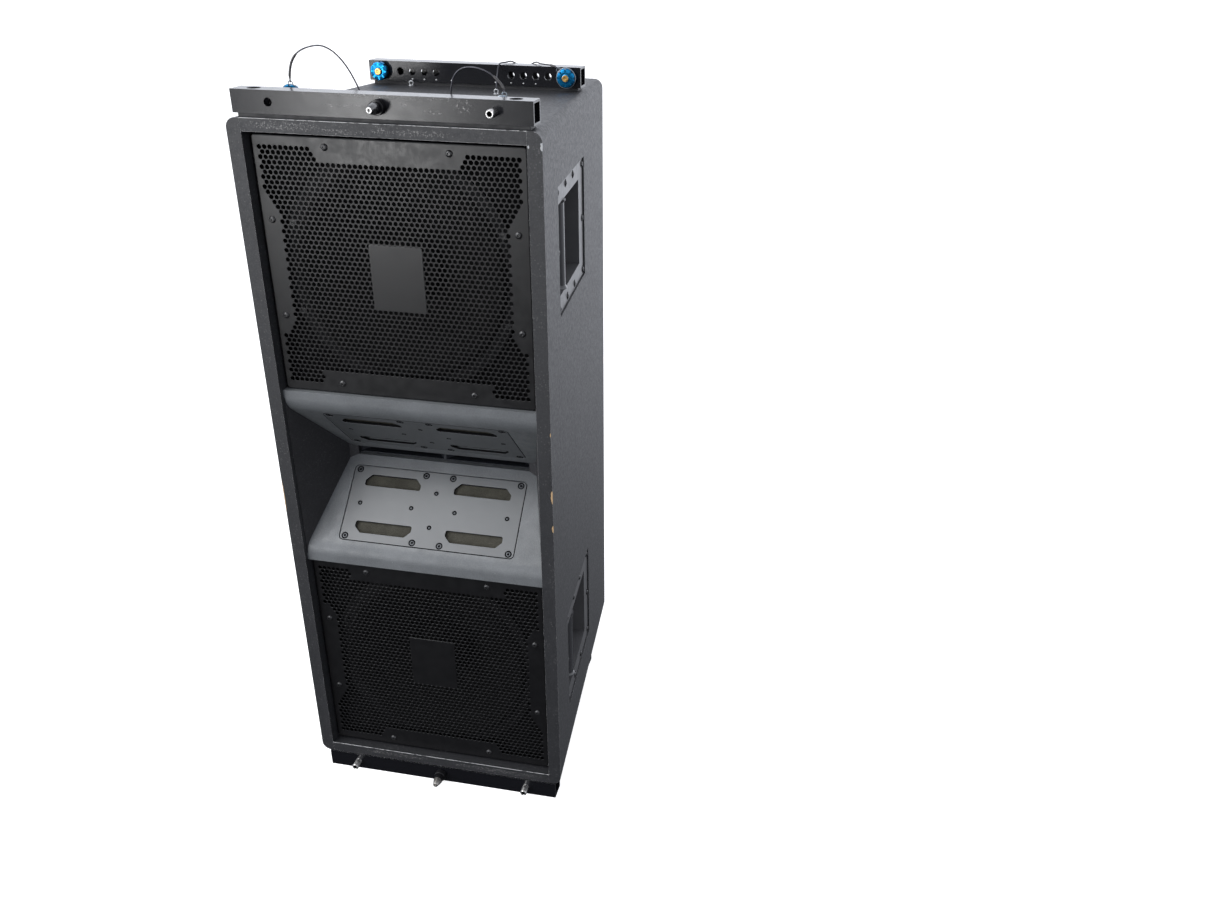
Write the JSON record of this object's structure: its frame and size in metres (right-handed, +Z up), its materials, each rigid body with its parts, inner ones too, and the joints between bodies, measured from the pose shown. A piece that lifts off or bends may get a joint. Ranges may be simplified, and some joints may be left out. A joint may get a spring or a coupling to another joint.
{
  "type": "line array speaker",
  "caption": "Tall line array loudspeaker standing on end: two woofer grilles, a V-shaped grey horn between them, square rigging tubes with locking pins, side handles.",
  "frame": {"origin": "middle of the footprint on the floor, under the middle of the bounding box", "axes": "+Z up along the long side, as it stands on end; the grilles face -Y; +X to the right as seen from the front"},
  "size_m": [0.489, 0.629, 1.3502],
  "materials": {
    "cabinet_paint": "textured black paint",
    "baffle_paint": "black paint",
    "bare_wood": "bare plywood",
    "horn_moulding": "pebbled grey",
    "slot_plate_paint": "painted grey",
    "foam": "open foam",
    "black_screw": "black",
    "grille_paint": "satin black powder coat",
    "basket_cast": "black cast",
    "cone": "doped paper",
    "magnet_steel": "plated",
    "guide_plastic": "moulded",
    "driver_alloy": "cast",
    "handle_paint": "dark grey paint",
    "panel_metal": "black paint",
    "socket_plastic": "moulded",
    "tube_paint": "satin black",
    "bolt_steel": "zinc plated",
    "stud_steel": "black oxide, worn tip",
    "wire_steel": "stranded wire",
    "link_steel": "black oxide",
    "pin_steel": "stainless shank, blue anodised head",
    "button_brass": "machined"
  },
  "bodies": {
    "root": {"side_panel_left": "cabinet_paint", "side_panel_right": "cabinet_paint", "end_board_top": "cabinet_paint", "end_board_bottom": "cabinet_paint", "back_panel": "cabinet_paint", "woofer_baffles": "baffle_paint", "horn_shelves": "bare_wood", "mid_chambers": "bare_wood", "horn_cheeks": "cabinet_paint", "horn_flare_upper": "horn_moulding", "horn_flare_lower": "horn_moulding", "slot_plate_upper": "slot_plate_paint", "slot_plate_lower": "slot_plate_paint", "slot_foams": "foam", "slot_plate_screws": "black_screw", "grille_upper": "grille_paint", "grille_lower": "grille_paint", "grille_screws": "black_screw", "driver_baskets": "basket_cast", "driver_cones": "cone", "driver_magnets": "magnet_steel", "driver_screws": "black_screw", "hf_waveguide": "guide_plastic", "hf_drivers": "driver_alloy", "handle_cups": "handle_paint", "handle_grips": "handle_paint", "handle_screws": "black_screw", "input_panel": "panel_metal", "input_connectors": "socket_plastic", "tube_front_top": "tube_paint", "tube_front_bottom": "tube_paint", "tube_rear_top": "tube_paint", "tube_rear_bottom": "tube_paint", "tube_plates": "tube_paint", "tube_bolts": "bolt_steel", "dolly_studs": "stud_steel", "lanyard_eyes": "bolt_steel", "lanyard_front_left": "wire_steel", "lanyard_front_right": "wire_steel", "lanyard_rear_right": "wire_steel"},
    "link_front_top": {"link_front_top": "link_steel"},
    "link_front_bottom": {"link_front_bottom": "link_steel"},
    "link_rear_top": {"link_rear_top": "link_steel"},
    "link_rear_bottom": {"link_rear_bottom": "link_steel"},
    "pin_front_left_top": {"pin_front_left_top": "pin_steel"},
    "pin_front_right_top": {"pin_front_right_top": "pin_steel"},
    "pin_rear_left_top": {"pin_rear_left_top": "pin_steel"},
    "pin_rear_right_top": {"pin_rear_right_top": "pin_steel"},
    "pin_front_left_bottom": {"pin_front_left_bottom": "pin_steel"},
    "pin_front_right_bottom": {"pin_front_right_bottom": "pin_steel"},
    "pin_rear_left_bottom": {"pin_rear_left_bottom": "pin_steel"},
    "pin_rear_right_bottom": {"pin_rear_right_bottom": "pin_steel"},
    "button_front_left_top": {"button_front_left_top": "button_brass"},
    "button_front_right_top": {"button_front_right_top": "button_brass"},
    "button_rear_left_top": {"button_rear_left_top": "button_brass"},
    "button_rear_right_top": {"button_rear_right_top": "button_brass"},
    "button_front_left_bottom": {"button_front_left_bottom": "button_brass"},
    "button_front_right_bottom": {"button_front_right_bottom": "button_brass"},
    "button_rear_left_bottom": {"button_rear_left_bottom": "button_brass"},
    "button_rear_right_bottom": {"button_rear_right_bottom": "button_brass"}
  },
  "joints": [
    {"name": "link_front_top_slide", "type": "slide", "parent": "root", "child": "link_front_top", "axis": [1, 0, 0], "range_m": [0, 0.109]},
    {"name": "link_front_bottom_slide", "type": "slide", "parent": "root", "child": "link_front_bottom", "axis": [1, 0, 0], "range_m": [0, 0.109]},
    {"name": "link_rear_top_slide", "type": "slide", "parent": "root", "child": "link_rear_top", "axis": [1, 0, 0], "range_m": [0, 0.109]},
    {"name": "link_rear_bottom_slide", "type": "slide", "parent": "root", "child": "link_rear_bottom", "axis": [1, 0, 0], "range_m": [0, 0.109]},
    {"name": "pin_front_left_top_slide", "type": "slide", "parent": "root", "child": "pin_front_left_top", "axis": [0, 1, 0], "range_m": [-0.031, 0.029]},
    {"name": "pin_front_right_top_slide", "type": "slide", "parent": "root", "child": "pin_front_right_top", "axis": [0, 1, 0], "range_m": [0, 0.06]},
    {"name": "pin_rear_left_top_slide", "type": "slide", "parent": "root", "child": "pin_rear_left_top", "axis": [0, -1, 0], "range_m": [0, 0.06]},
    {"name": "pin_rear_right_top_slide", "type": "slide", "parent": "root", "child": "pin_rear_right_top", "axis": [0, -1, 0], "range_m": [0, 0.06]},
    {"name": "pin_front_left_bottom_slide", "type": "slide", "parent": "root", "child": "pin_front_left_bottom", "axis": [0, 1, 0], "range_m": [0, 0.06]},
    {"name": "pin_front_right_bottom_slide", "type": "slide", "parent": "root", "child": "pin_front_right_bottom", "axis": [0, 1, 0], "range_m": [0, 0.06]},
    {"name": "pin_rear_left_bottom_slide", "type": "slide", "parent": "root", "child": "pin_rear_left_bottom", "axis": [0, -1, 0], "range_m": [0, 0.06]},
    {"name": "pin_rear_right_bottom_slide", "type": "slide", "parent": "root", "child": "pin_rear_right_bottom", "axis": [0, -1, 0], "range_m": [0, 0.06]},
    {"name": "button_front_left_top_press", "type": "slide", "parent": "pin_front_left_top", "child": "button_front_left_top", "axis": [0, -1, 0], "range_m": [0, 0.0025], "stiffness_N_per_m": 400},
    {"name": "button_front_right_top_press", "type": "slide", "parent": "pin_front_right_top", "child": "button_front_right_top", "axis": [0, -1, 0], "range_m": [0, 0.0025], "stiffness_N_per_m": 400},
    {"name": "button_rear_left_top_press", "type": "slide", "parent": "pin_rear_left_top", "child": "button_rear_left_top", "axis": [0, 1, 0], "range_m": [0, 0.0025], "stiffness_N_per_m": 400},
    {"name": "button_rear_right_top_press", "type": "slide", "parent": "pin_rear_right_top", "child": "button_rear_right_top", "axis": [0, 1, 0], "range_m": [0, 0.0025], "stiffness_N_per_m": 400},
    {"name": "button_front_left_bottom_press", "type": "slide", "parent": "pin_front_left_bottom", "child": "button_front_left_bottom", "axis": [0, -1, 0], "range_m": [0, 0.0025], "stiffness_N_per_m": 400},
    {"name": "button_front_right_bottom_press", "type": "slide", "parent": "pin_front_right_bottom", "child": "button_front_right_bottom", "axis": [0, -1, 0], "range_m": [0, 0.0025], "stiffness_N_per_m": 400},
    {"name": "button_rear_left_bottom_press", "type": "slide", "parent": "pin_rear_left_bottom", "child": "button_rear_left_bottom", "axis": [0, 1, 0], "range_m": [0, 0.0025], "stiffness_N_per_m": 400},
    {"name": "button_rear_right_bottom_press", "type": "slide", "parent": "pin_rear_right_bottom", "child": "button_rear_right_bottom", "axis": [0, 1, 0], "range_m": [0, 0.0025], "stiffness_N_per_m": 400}
  ]
}
